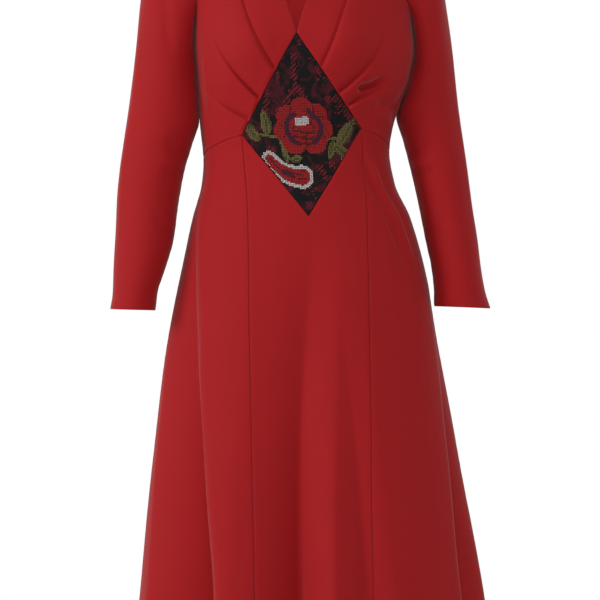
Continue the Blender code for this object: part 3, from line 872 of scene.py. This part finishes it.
def newGroup(name, inputs):  # every grain group gives a colour, a height and a roughness
    group = bpy.data.node_groups.new(name, "ShaderNodeTree")
    for label, kind, value in inputs:
        socket = group.interface.new_socket(label, in_out="INPUT", socket_type="NodeSocket" + kind)
        socket.default_value = value
    for label, kind in (("Colour", "Color"), ("Height", "Float"), ("Roughness", "Float")):
        group.interface.new_socket(label, in_out="OUTPUT", socket_type="NodeSocket" + kind)
    return group, group.nodes.new("NodeGroupInput").outputs, group.nodes.new("NodeGroupOutput")


def crepeGroup():
    # crepe: two fine crossed threads under a pebbly grain, with slow dye mottling
    group, given, put = newGroup("crepeGrain", (
        ("Vector", "Vector", (0, 0, 0)),
        ("Colour", "Color", (0.4, 0.02, 0.02, 1)),
        ("Deep", "Color", (0.2, 0.01, 0.01, 1)),
        ("Thread", "Float", 0.0006),
        ("Mottle", "Float", 0.25),
    ))
    place = given["Vector"]
    perThread = maths(group, "DIVIDE", 1.0, given["Thread"])
    perTurn = maths(group, "MULTIPLY", perThread, 2 * math.pi)
    split = addNode(group, "SeparateXYZ", {0: place}).outputs
    threads = [
        maths(group, "SINE", maths(group, "MULTIPLY", split[axis], perTurn)) for axis in ("X", "Y")
    ]
    weave = maths(group, "MULTIPLY", *threads)
    pebble = noise(group, place, maths(group, "MULTIPLY", perThread, 0.42), 3.0, Roughness=0.6)
    speck = noise(group, place, maths(group, "MULTIPLY", perThread, 0.2), 2.0)
    slow = noise(group, place, 22.0, 4.0)
    grain = maths(group, "MULTIPLY_ADD", pebble, 0.5, maths(group, "MULTIPLY", speck, 0.5))
    uneven = maths(group, "MULTIPLY_ADD", slow, 0.5, maths(group, "MULTIPLY", grain, 0.9))
    share = maths(group, "MULTIPLY", maths(group, "SUBTRACT", 1.25, uneven), given["Mottle"])
    setInputs(group, put, {
        "Colour": blendColours(group, share, given["Colour"], given["Deep"]),
        "Height": maths(group, "MULTIPLY_ADD", weave, 0.18, pebble),
        "Roughness": maths(group, "MULTIPLY_ADD", grain, 0.18, 0.68),
    })
    return group


def newMaterial(name):
    material = bpy.data.materials.new(name)
    material.use_nodes = True
    tree = material.node_tree
    return material, tree, tree.nodes["Principled BSDF"]


crepeLook = {
    "colour": (0.45, 0.0075, 0.0105, 1),
    "deep": (0.26, 0.0038, 0.0055, 1),
    "thread": 0.00055,
    "mottle": 0.42,
    "bump": 0.0002,
    "sheen": 0.24,
    "sheenRoughness": 0.34,
    "sheenTint": (1.0, 0.80, 0.80, 1),
    "specular": 0.24,
}


def crepe():
    material, tree, shader = newMaterial("redCrepe")
    grain = addNode(tree, "Group", {
        "Vector": addNode(tree, "UVMap", uv_map="grain").outputs[0],
        "Colour": crepeLook["colour"],
        "Deep": crepeLook["deep"],
        "Thread": crepeLook["thread"],
        "Mottle": crepeLook["mottle"],
    }, node_tree=crepeGroup())
    setInputs(tree, shader, {
        "Base Color": grain.outputs["Colour"],
        "Roughness": grain.outputs["Roughness"],
        "Normal": bumpFrom(tree, grain.outputs["Height"], 0.6, crepeLook["bump"]),
        "Sheen Weight": crepeLook["sheen"],
        "Sheen Roughness": crepeLook["sheenRoughness"],
        "Sheen Tint": crepeLook["sheenTint"],
        "Specular IOR Level": crepeLook["specular"],
    })
    return material


groundLook = {
    "black": (0.0055, 0.0045, 0.005, 1),
    "wine": (0.115, 0.006, 0.017, 1),
    "bloom": (0.48, 0.62, 0.85),
    "pitch": 0.0022,
    "bump": 0.0003,
}


def canvas():
    # the black ground of the inset: an even canvas with wine-red bloom in places
    material, tree, shader = newMaterial("blackCanvas")
    place = objectPlace(tree)
    split = addNode(tree, "SeparateXYZ", {0: place}).outputs
    perPitch = 2 * math.pi / groundLook["pitch"]
    threads = [
        maths(tree, "ABSOLUTE", maths(tree, "SINE", maths(tree, "MULTIPLY", split[axis], perPitch)))
        for axis in ("X", "Z")
    ]
    bloom = spread(tree, noise(tree, place, 42.0, 3.0, Distortion=1.4), *groundLook["bloom"])
    fine = noise(tree, place, 700.0, 2.0)
    share = maths(tree, "MULTIPLY", bloom, maths(tree, "MULTIPLY_ADD", fine, 0.8, 0.3))
    setInputs(tree, shader, {
        "Base Color": blendColours(tree, share, groundLook["black"], groundLook["wine"]),
        "Roughness": maths(tree, "MULTIPLY_ADD", fine, 0.2, 0.72),
        "Normal": bumpFrom(tree, maths(tree, "MULTIPLY", *threads), 0.7, groundLook["bump"]),
        "Specular IOR Level": 0.25,
    })
    return material


def threadGroup():
    # stranded thread: twist lines along each stitch, with painted shade in the low grooves of the
    # twist, and a little unevenness between stitches
    group, given, put = newGroup("strandedThread", (
        ("Vector", "Vector", (0, 0, 0)),
        ("Colour", "Color", (0.5, 0.5, 0.5, 1)),
        ("Twist", "Float", 0.0005),
    ))
    scale = maths(group, "DIVIDE", 0.31, given["Twist"])
    inputs = {"Vector": given["Vector"], "Scale": scale, "Distortion": 0.6}
    twist = addNode(group, "TexWave", inputs, bands_direction="DIAGONAL").outputs[1]
    uneven = noise(group, given["Vector"], 260.0, 2.0)
    shadeAndUnevenColour = blendColours(group, 1.0, given["Colour"], (0.62, 0.58, 0.58, 1), "MULTIPLY")
    # the colour darkens where the twist is low: painted shade in its grooves, scaled by random
    # unevenness
    share = maths(group, "MULTIPLY", uneven, maths(group, "MULTIPLY_ADD", twist, -0.5, 0.9))
    setInputs(group, put, {
        "Colour": blendColours(group, share, given["Colour"], shadeAndUnevenColour),
        "Height": twist,
        "Roughness": maths(group, "MULTIPLY_ADD", uneven, 0.25, 0.42),
    })
    return group


def threadMaterial(name, colour, group):
    material, tree, shader = newMaterial(name)
    strand = addNode(
        tree, "Group", {"Vector": objectPlace(tree), "Colour": colour}, node_tree=group
    )
    setInputs(tree, shader, {
        "Base Color": strand.outputs["Colour"],
        "Roughness": strand.outputs["Roughness"],
        "Normal": bumpFrom(tree, strand.outputs["Height"], 0.5, 0.00012),
        "Sheen Weight": 0.15,
        "Specular IOR Level": 0.35,
    })
    return material


def enamel():
    # red enamel over brass, rubbed a little in patches where a noise runs high
    material, tree, shader = newMaterial("redEnamel")
    uneven = noise(tree, objectPlace(tree), 900.0, 3.0)
    rubbed = spread(tree, uneven, 0.62, 0.75, 0.5)
    setInputs(tree, shader, {
        "Base Color": blendColours(tree, rubbed, (0.33, 0.016, 0.020, 1), (0.42, 0.20, 0.10, 1)),
        "Roughness": maths(tree, "MULTIPLY_ADD", uneven, 0.25, 0.2),
        "Metallic": maths(tree, "MULTIPLY_ADD", rubbed, 0.8, 0.15),
        "Normal": bumpFrom(tree, uneven, 0.3, 0.00008),
        "Coat Weight": 0.4,
    })
    return material


# the cross-stitched motif: a full rose, a budding bloom and sprays of leaves, all in
# millimetres from the diamond's centre line and from the middle of its height
motif = {
    "pitch": 2.2,
    "middleZ": -372,
    "margin": 1.5,
    "laceRows": 3,
    "rose": {
        "x": 2,
        "z": -2,
        "outer": {"turns": (3.3, 2.5, 0.75, -0.1, -0.95, -2.15, 1.62), "away": 24.0, "radius": 18.0},
        "inner": {"turns": (0.1, 3.0, 1.5, -0.75, -2.3), "away": 9.5, "radius": 12.0},
        "petalSeam": 2.4,
        "seamTo": 0.3,
        "heart": 10.0,
        "shadow": 6.6,
        "shadowTurn": 1.3,
        "shadowFrom": -0.75,
        "folds": {"z": -9, "radius": 16, "from": 0.45},
        "light": {"x": -2, "z": 9, "width": 10.5, "height": 5.8, "slope": 0.12},
    },
    "bud": {
        "start": (-50, -45),
        "bend": (-32, -72),
        "end": (-6, -72),
        "narrow": 10.0,
        "wide": 17.0,
        "edge": 4.8,
        "heart": {"at": 0.62, "length": 0.17, "width": 3.4},
    },
    "vein": {"width": 1.1, "length": 0.8},
    "leafShade": 0.62,
    "leaves": (
        (-49, -12, -54, 22, 8.0, 0.08),
        (-62, -20, -78, 6, 8.0, -0.20),
        (-20, -49, -3, -44, 5.5, 0.10),
        (-30, -30, -24, -52, 5.0, -0.10),
        (50, -26, 72, 7, 10.0, 0.12),
        (70, 4, 88, 10, 4.5, -0.10),
        (44, -20, 36, -47, 6.0, 0.10),
        (45, -27, 65, -49, 8.5, -0.15),
    ),
    "stems": (
        (-66, -10, -50, -14, -32, -16, 1.8),
        (-34, -16, -30, -26, -27, -42, 1.8),
        (34, -19, 44, -16, 54, -18, 1.8),
        (54, -44, 56, -52, 52, -62, 1.5),
    ),
    "laceStrokes": (
        (-5, 98, -9, 74, -3, 50, 4.4),
        (-5, 56, -14, 44, -34, 16, 5.0),
        (-3, 54, 3, 48, 8, 36, 4.2),
        (-49, 54, -45, 38, -51, 20, 5.4),
        (-33, 83, -28, 74, -31, 63, 3.0),
        (24, 80, 37, 82, 46, 62, 4.0),
        (40, 38, 60, 46, 71, 6, 5.4),
        (18, -56, 27, -66, 36, -84, 6.0),
        (36, -50, 45, -64, 56, -68, 5.4),
        (0, -110, 7, -120, 16, -124, 5.0),
        (30, -88, 24, -100, 14, -104, 4.0),
        (-52, -30, -48, -36, -44, -34, 4.0),
        (-2, 130, 1, 122, 3, 115, 3.0),
    ),
    "laceRoses": (
        (32, 68, 12, 3, 0.4),
        (57, 24, 13, 4, 1.2),
        (20, 96, 8, 3, 2.0),
        (4, -92, 11, 4, 0.9),
    ),
}
threads = {
    "rose": (0.64, 0.007, 0.009, 1),
    "shade": (0.115, 0.010, 0.052, 1),
    "deepRose": (0.15, 0.005, 0.010, 1),
    "white": (1.0, 0.97, 0.92, 1),
    "leaf": (0.27, 0.245, 0.06, 1),
    "moss": (0.10, 0.10, 0.024, 1),
    "lace": (0.44, 0.008, 0.030, 1),
}


def roseThreads(x, z, chart):
    # petals laid back to front, with shade round the inner ones
    rose = motif["rose"]
    x, z = x - rose["x"], z - rose["z"]
    angle = np.arctan2(z, x)
    for petals, shadow in ((rose["outer"], 0), (rose["inner"], rose["shadow"])):
        for border in (shadow, 0):
            for turn in petals["turns"]:
                c, s = math.cos(turn), math.sin(turn)
                out, aside = x * c + z * s - petals["away"], z * c - x * s
                reach = np.hypot(out, aside) - petals["radius"]
                if border:
                    dark = np.sin(2 * angle + rose["shadowTurn"]) > rose["shadowFrom"]
                    chart = np.where((reach < border) & dark, "shade", chart)
                    continue
                chart = np.where(reach < 0, "rose", chart)
                seam = (reach < 0) & (reach > -rose["petalSeam"])
                seam = seam & (out < rose["seamTo"] * petals["radius"])
                chart = np.where(seam, "deepRose", chart)
    chart = np.where(np.hypot(x, z) < rose["heart"], "rose", chart)
    folds = rose["folds"]  # wavy rows of folded petals under the heart
    ripple = np.sin(z * 0.78 + 1.1 * np.sin(x * 0.17 + 0.6)) > folds["from"]
    below = (z < -1) & (np.hypot(x, 0.8 * (z - folds["z"])) < folds["radius"])
    chart = np.where(below & ripple, "deepRose", chart)
    light = rose["light"]
    across = (x - light["x"]) / light["width"]
    up = (z - light["z"] - light["slope"] * x) / light["height"]
    return np.where(across ** 4 + up ** 4 < 1, "white", chart)


def budThreads(x, z, chart):
    bud = motif["bud"]
    nearest, along, across = byBend(x, z, bud["start"], bud["bend"], bud["end"])
    reach = nearest - mix(bud["narrow"], bud["wide"], along)
    chart = np.where(reach < 0, "white", chart)
    chart = np.where(reach < -bud["edge"], "rose", chart)
    folds = np.sin(across * 1.1 + 5 * along) > 0.65
    chart = np.where((reach < -1.7 * bud["edge"]) & folds, "deepRose", chart)
    heart = bud["heart"]
    inHeart = (np.abs(along - heart["at"]) < heart["length"]) & (np.abs(across) < heart["width"])
    return np.where(inHeart & ~folds, "shade", chart)


def leafThreads(x, z, chart):
    for x1, z1, x2, z2, width, bow in motif["leaves"]:
        run = np.hypot(x2 - x1, z2 - z1)
        along = ((x - x1) * (x2 - x1) + (z - z1) * (z2 - z1)) / run ** 2
        across = ((x - x1) * (z2 - z1) - (z - z1) * (x2 - x1)) / run
        across = across - bow * run * along * (1 - along)
        half = width * np.sqrt(np.clip(4 * along * (1 - along), 0, 1)) * (1.1 - 0.35 * along)
        inside = (along > 0) & (along < 1) & (np.abs(across) < half)
        chart = np.where(inside, "leaf", chart)
        vein = (np.abs(across) < motif["vein"]["width"]) & (along < motif["vein"]["length"])
        shaded = across > motif["leafShade"] * half
        chart = np.where(inside & (vein | shaded), "moss", chart)
    for x1, z1, x2, z2, x3, z3, width in motif["stems"]:
        nearest, _, _ = byBend(x, z, (x1, z1), (x2, z2), (x3, z3))
        chart = np.where(nearest < width, "leaf", chart)
    return chart


def laceThreads(x, z, chart):  # single slanting stitches, as of lace roses in the ground
    for x1, z1, x2, z2, x3, z3, width in motif["laceStrokes"]:
        nearest, along, _ = byBend(x, z, (x1, z1), (x2, z2), (x3, z3))
        ragged = width * (0.75 + 0.35 * np.sin(21 * along + x1))
        chart = np.where(nearest < ragged, "lace", chart)
    for roseX, roseZ, radius, petals, turn in motif["laceRoses"]:
        reach, angle = np.hypot(x - roseX, z - roseZ) / radius, np.arctan2(z - roseZ, x - roseX)
        leafing = np.sin(petals * angle + turn + 4.5 * reach)
        inside = (reach < 0.82 + 0.18 * np.sin(petals * angle + turn)) & (leafing > 0.1)
        chart = np.where(inside, "lace", chart)
    return chart


def chartMotif():
    pitch = motif["pitch"]
    x, z = np.meshgrid(
        np.arange(-diamondShape["half"], diamondShape["half"], pitch),
        np.arange(diamondShape["tipZ"], diamondShape["topZ"], pitch),
    )
    x, z = x.ravel(), z.ravel()
    inset = -np.maximum(outsideDiamond(x, z), belowDiamond(x, z))
    x, z = x[inset > motif["margin"]], z[inset > motif["margin"]]
    level = z - motif["middleZ"]
    chart = np.full(len(x), "none", dtype="<U8")
    for fill in (laceThreads, leafThreads, budThreads, roseThreads):
        chart = fill(x, level, chart)
    # the lace is worked in slanting rows with the ground left bare between them
    row = np.rint(x / pitch) - np.rint(z / pitch)
    bare = (chart == "lace") & (row % motif["laceRows"] == 0)
    return x[~bare], z[~bare], chart[~bare]


stitch = {
    "radius": 0.42,
    "flat": 0.60,
    "reach": 2.35,
    "narrowing": 0.25,
    "arch": 0.50,
    "dip": 0.12,
    "over": 0.32,
    "sides": 6,
    "lengths": 3,
    "slant": 45,
    "slantSpread": 3.5,
    "sizes": (0.94, 1.06),
    "shift": 0.06,
}


def oneStrand():
    # a short thread along X that dips into the cloth at both ends
    bm = bmesh.new()
    radius = stitch["radius"]
    bmesh.ops.create_cone(bm, cap_ends=False, segments=stitch["sides"], radius1=radius,
                          radius2=radius, depth=stitch["reach"])
    around = [e for e in bm.edges if abs(e.verts[0].co.z - e.verts[1].co.z) > 0.1]
    bmesh.ops.subdivide_edges(bm, edges=around, cuts=stitch["lengths"] - 1)
    for v in bm.verts:
        x, y, up = v.co.z, v.co.y, v.co.x * stitch["flat"]
        out = (2 * x / stitch["reach"]) ** 2  # 0 in the middle and 1 at both ends
        lift = stitch["arch"] * (1 - out) - stitch["dip"] * out
        v.co = (x, y * (1 - stitch["narrowing"] * out), up + lift)
    bmesh.ops.recalc_face_normals(bm, faces=bm.faces[:])
    bm.verts.index_update()
    points = np.array([v.co[:] for v in bm.verts])
    faces = np.array([[v.index for v in f.verts] for f in bm.faces])
    centre = bm.faces[0].calc_center_median()
    if bm.faces[0].normal.dot(centre - Vector((centre.x, 0, 0))) < 0:
        faces = faces[:, ::-1]
    bm.free()
    return points, faces


def stitchPiece(name, x, z, crossed, material, seed):
    strand, faces = oneStrand()
    random = np.random.default_rng(seed)
    step = 0.5
    at = bodySurface(aroundOf(x, z), z)
    right = bodySurface(aroundOf(x + step, z), z) - at
    up = bodySurface(aroundOf(x, z + step), z + step) - at
    right, up = (d / np.linalg.norm(d, axis=1, keepdims=True) for d in (right, up))
    out = np.cross(right, up)
    points, corners = [], []
    for layer, slant in enumerate((1, -1) if crossed else (1,)):
        slants = slant * stitch["slant"] + random.normal(0, stitch["slantSpread"], len(x))
        turn = np.radians(slants)[:, None]
        forward = right * np.cos(turn) + up * np.sin(turn)
        aside = -right * np.sin(turn) + up * np.cos(turn)
        size = random.uniform(*stitch["sizes"], (len(x), 1, 1))
        shift = right * random.normal(0, stitch["shift"], (len(x), 1))
        shift = shift + up * random.normal(0, stitch["shift"], (len(x), 1))
        lift = out * (layer * stitch["over"])
        axes = forward[:, None] * strand[None, :, :1] + aside[:, None] * strand[None, :, 1:2]
        raised = axes * size + out[:, None] * strand[None, :, 2:]
        start = sum(len(p) for p in points)
        points.append((raised + (at + shift + lift)[:, None]).reshape(-1, 3))
        firsts = (np.arange(len(x)) * len(strand))[:, None, None] + start
        corners.append((faces[None] + firsts).reshape(-1, 4))
    mesh = bpy.data.meshes.new(name)
    mesh.from_pydata(np.concatenate(points) * metres, [], np.concatenate(corners).tolist())
    mesh.shade_smooth()
    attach(addPiece(name, mesh, material), "dress")


def embroider():
    group = threadGroup()
    x, z, chart = chartMotif()
    total = 0
    for seed, (thread, colour) in enumerate(threads.items()):
        chosen = chart == thread
        material = threadMaterial(thread + "Thread", colour, group)
        crossed = thread != "lace"
        stitchPiece(thread + "Stitches", x[chosen], z[chosen], crossed, material, 100 + seed)
        total += int(chosen.sum())
    print(f"embroidery: {total} stitches of {len(x)} places in the diamond")


studio = {
    "floorZ": -1.45,
    "floorRadius": 3.0,
    "floorFade": (1.1, 2.9),
    "floorColour": (0.80, 0.79, 0.78, 1),
    "camera": (-0.2660, -4.4921, -0.619),
    "turn": -3.5,
    "lens": 186.2,
    "world": 0.50,
}
lamps = (
    ("softKey", (-3.4, -1.5, 0.5), (0.0, 0.0, -0.55), 1.2, 52),
    ("softFront", (-0.2, -3.0, 2.2), (0.0, 0.0, -0.3), 1.2, 20),
    ("softBack", (0.6, 3.0, 0.8), (0.0, 0.0, -0.6), 1.8, 12),
    ("softNeck", (0.0, -0.02, -0.08), (0.0, 0.1, -0.22), 0.08, 0.15),
)


def floor():
    bm = bmesh.new()
    bmesh.ops.create_circle(bm, cap_ends=True, segments=96, radius=studio["floorRadius"])
    bmesh.ops.translate(bm, vec=(0, 0, studio["floorZ"]), verts=bm.verts[:])
    mesh = bpy.data.meshes.new("floor")
    bm.to_mesh(mesh)
    bm.free()
    material, tree, shader = newMaterial("paleFloor")
    split = addNode(tree, "SeparateXYZ", {0: objectPlace(tree)}).outputs
    squares = [maths(tree, "POWER", split[axis], 2.0) for axis in ("X", "Y")]
    reach = maths(tree, "SQRT", maths(tree, "ADD", *squares))
    start, end = studio["floorFade"]
    inputs = {0: reach, 1: start, 2: end, 3: 1.0, 4: 0.0}
    fade = addNode(tree, "MapRange", inputs, interpolation_type="SMOOTHSTEP")
    setInputs(tree, shader, {
        "Base Color": studio["floorColour"],
        "Roughness": 0.9,
        "Alpha": fade.outputs[0],
    })
    addPiece("floor", mesh, material)


def lightsAndCamera():
    scene = bpy.context.scene
    for name, place, target, size, power in lamps:
        light = bpy.data.lights.new(name, "AREA")
        light.shape, light.size, light.energy = "DISK", size, power
        lamp = bpy.data.objects.new(name, light)
        lamp.location = place
        lamp.rotation_euler = (Vector(target) - Vector(place)).to_track_quat("-Z", "Y").to_euler()
        scene.collection.objects.link(lamp)
    world = bpy.data.worlds.new("studio")
    world.use_nodes = True
    tree = world.node_tree
    plain, seen = tree.nodes["Background"], addNode(tree, "Background")
    for sky, strength in ((plain, studio["world"]), (seen, 1.0)):
        setInputs(tree, sky, {"Color": (1, 1, 1, 1), "Strength": strength})
    direct = addNode(tree, "LightPath").outputs["Is Camera Ray"]
    both = addNode(tree, "MixShader", {0: direct, 1: plain.outputs[0], 2: seen.outputs[0]})
    setInputs(tree, tree.nodes["World Output"], {"Surface": both.outputs[0]})
    scene.world = world
    scene.view_settings.view_transform = "Standard"
    view = bpy.data.cameras.new("camera")
    view.lens, view.clip_end = studio["lens"], 100
    camera = bpy.data.objects.new("camera", view)
    camera.location = studio["camera"]
    camera.rotation_euler = (math.radians(90), 0, math.radians(studio["turn"]))
    scene.collection.objects.link(camera)
    scene.camera = camera


lightsAndCamera()
floor()
print("studio: camera, lights and floor")

redCrepe, blackCanvas = crepe(), canvas()
for word, side in (("Right", -1), ("Left", 1)):
    node = word.lower()
    front, back = "bodiceFront" + word, "bodiceBack" + word
    for build, name, part, hangsFrom in (
        (bodiceFront, front, "bodice_front_", [back]),
        (bodiceBack, back, "bodice_back_", [front]),
        (sleeve, "sleeve" + word, "sleeve_", [front, back]),
        (skirtFront, "skirtFront" + word, "skirt_front_", [front]),
        (skirtBack, "skirtBack" + word, "skirt_back_", [back]),
    ):
        sewn(*build(name, side, redCrepe), part + node, "red_crepe", hangsFrom)
centre = skirtFrontCentre("skirtFrontCentre", redCrepe)
sewn(*centre, "skirt_front_centre", "red_crepe", ["insetDiamond"])
inset = insetDiamond("insetDiamond", blackCanvas)
sewn(*inset, "inset_diamond", "inset_cloth", ["bodiceFrontRight", "bodiceFrontLeft"])
print("cloth: 12 cut pieces sewn")
embroider()

enamelRed = enamel()
for node in ("zip_slider", "zip_pull"):
    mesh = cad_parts[node].data
    mesh.materials.clear()
    mesh.materials.append(enamelRed)
print("zip: slider and pull enamelled")
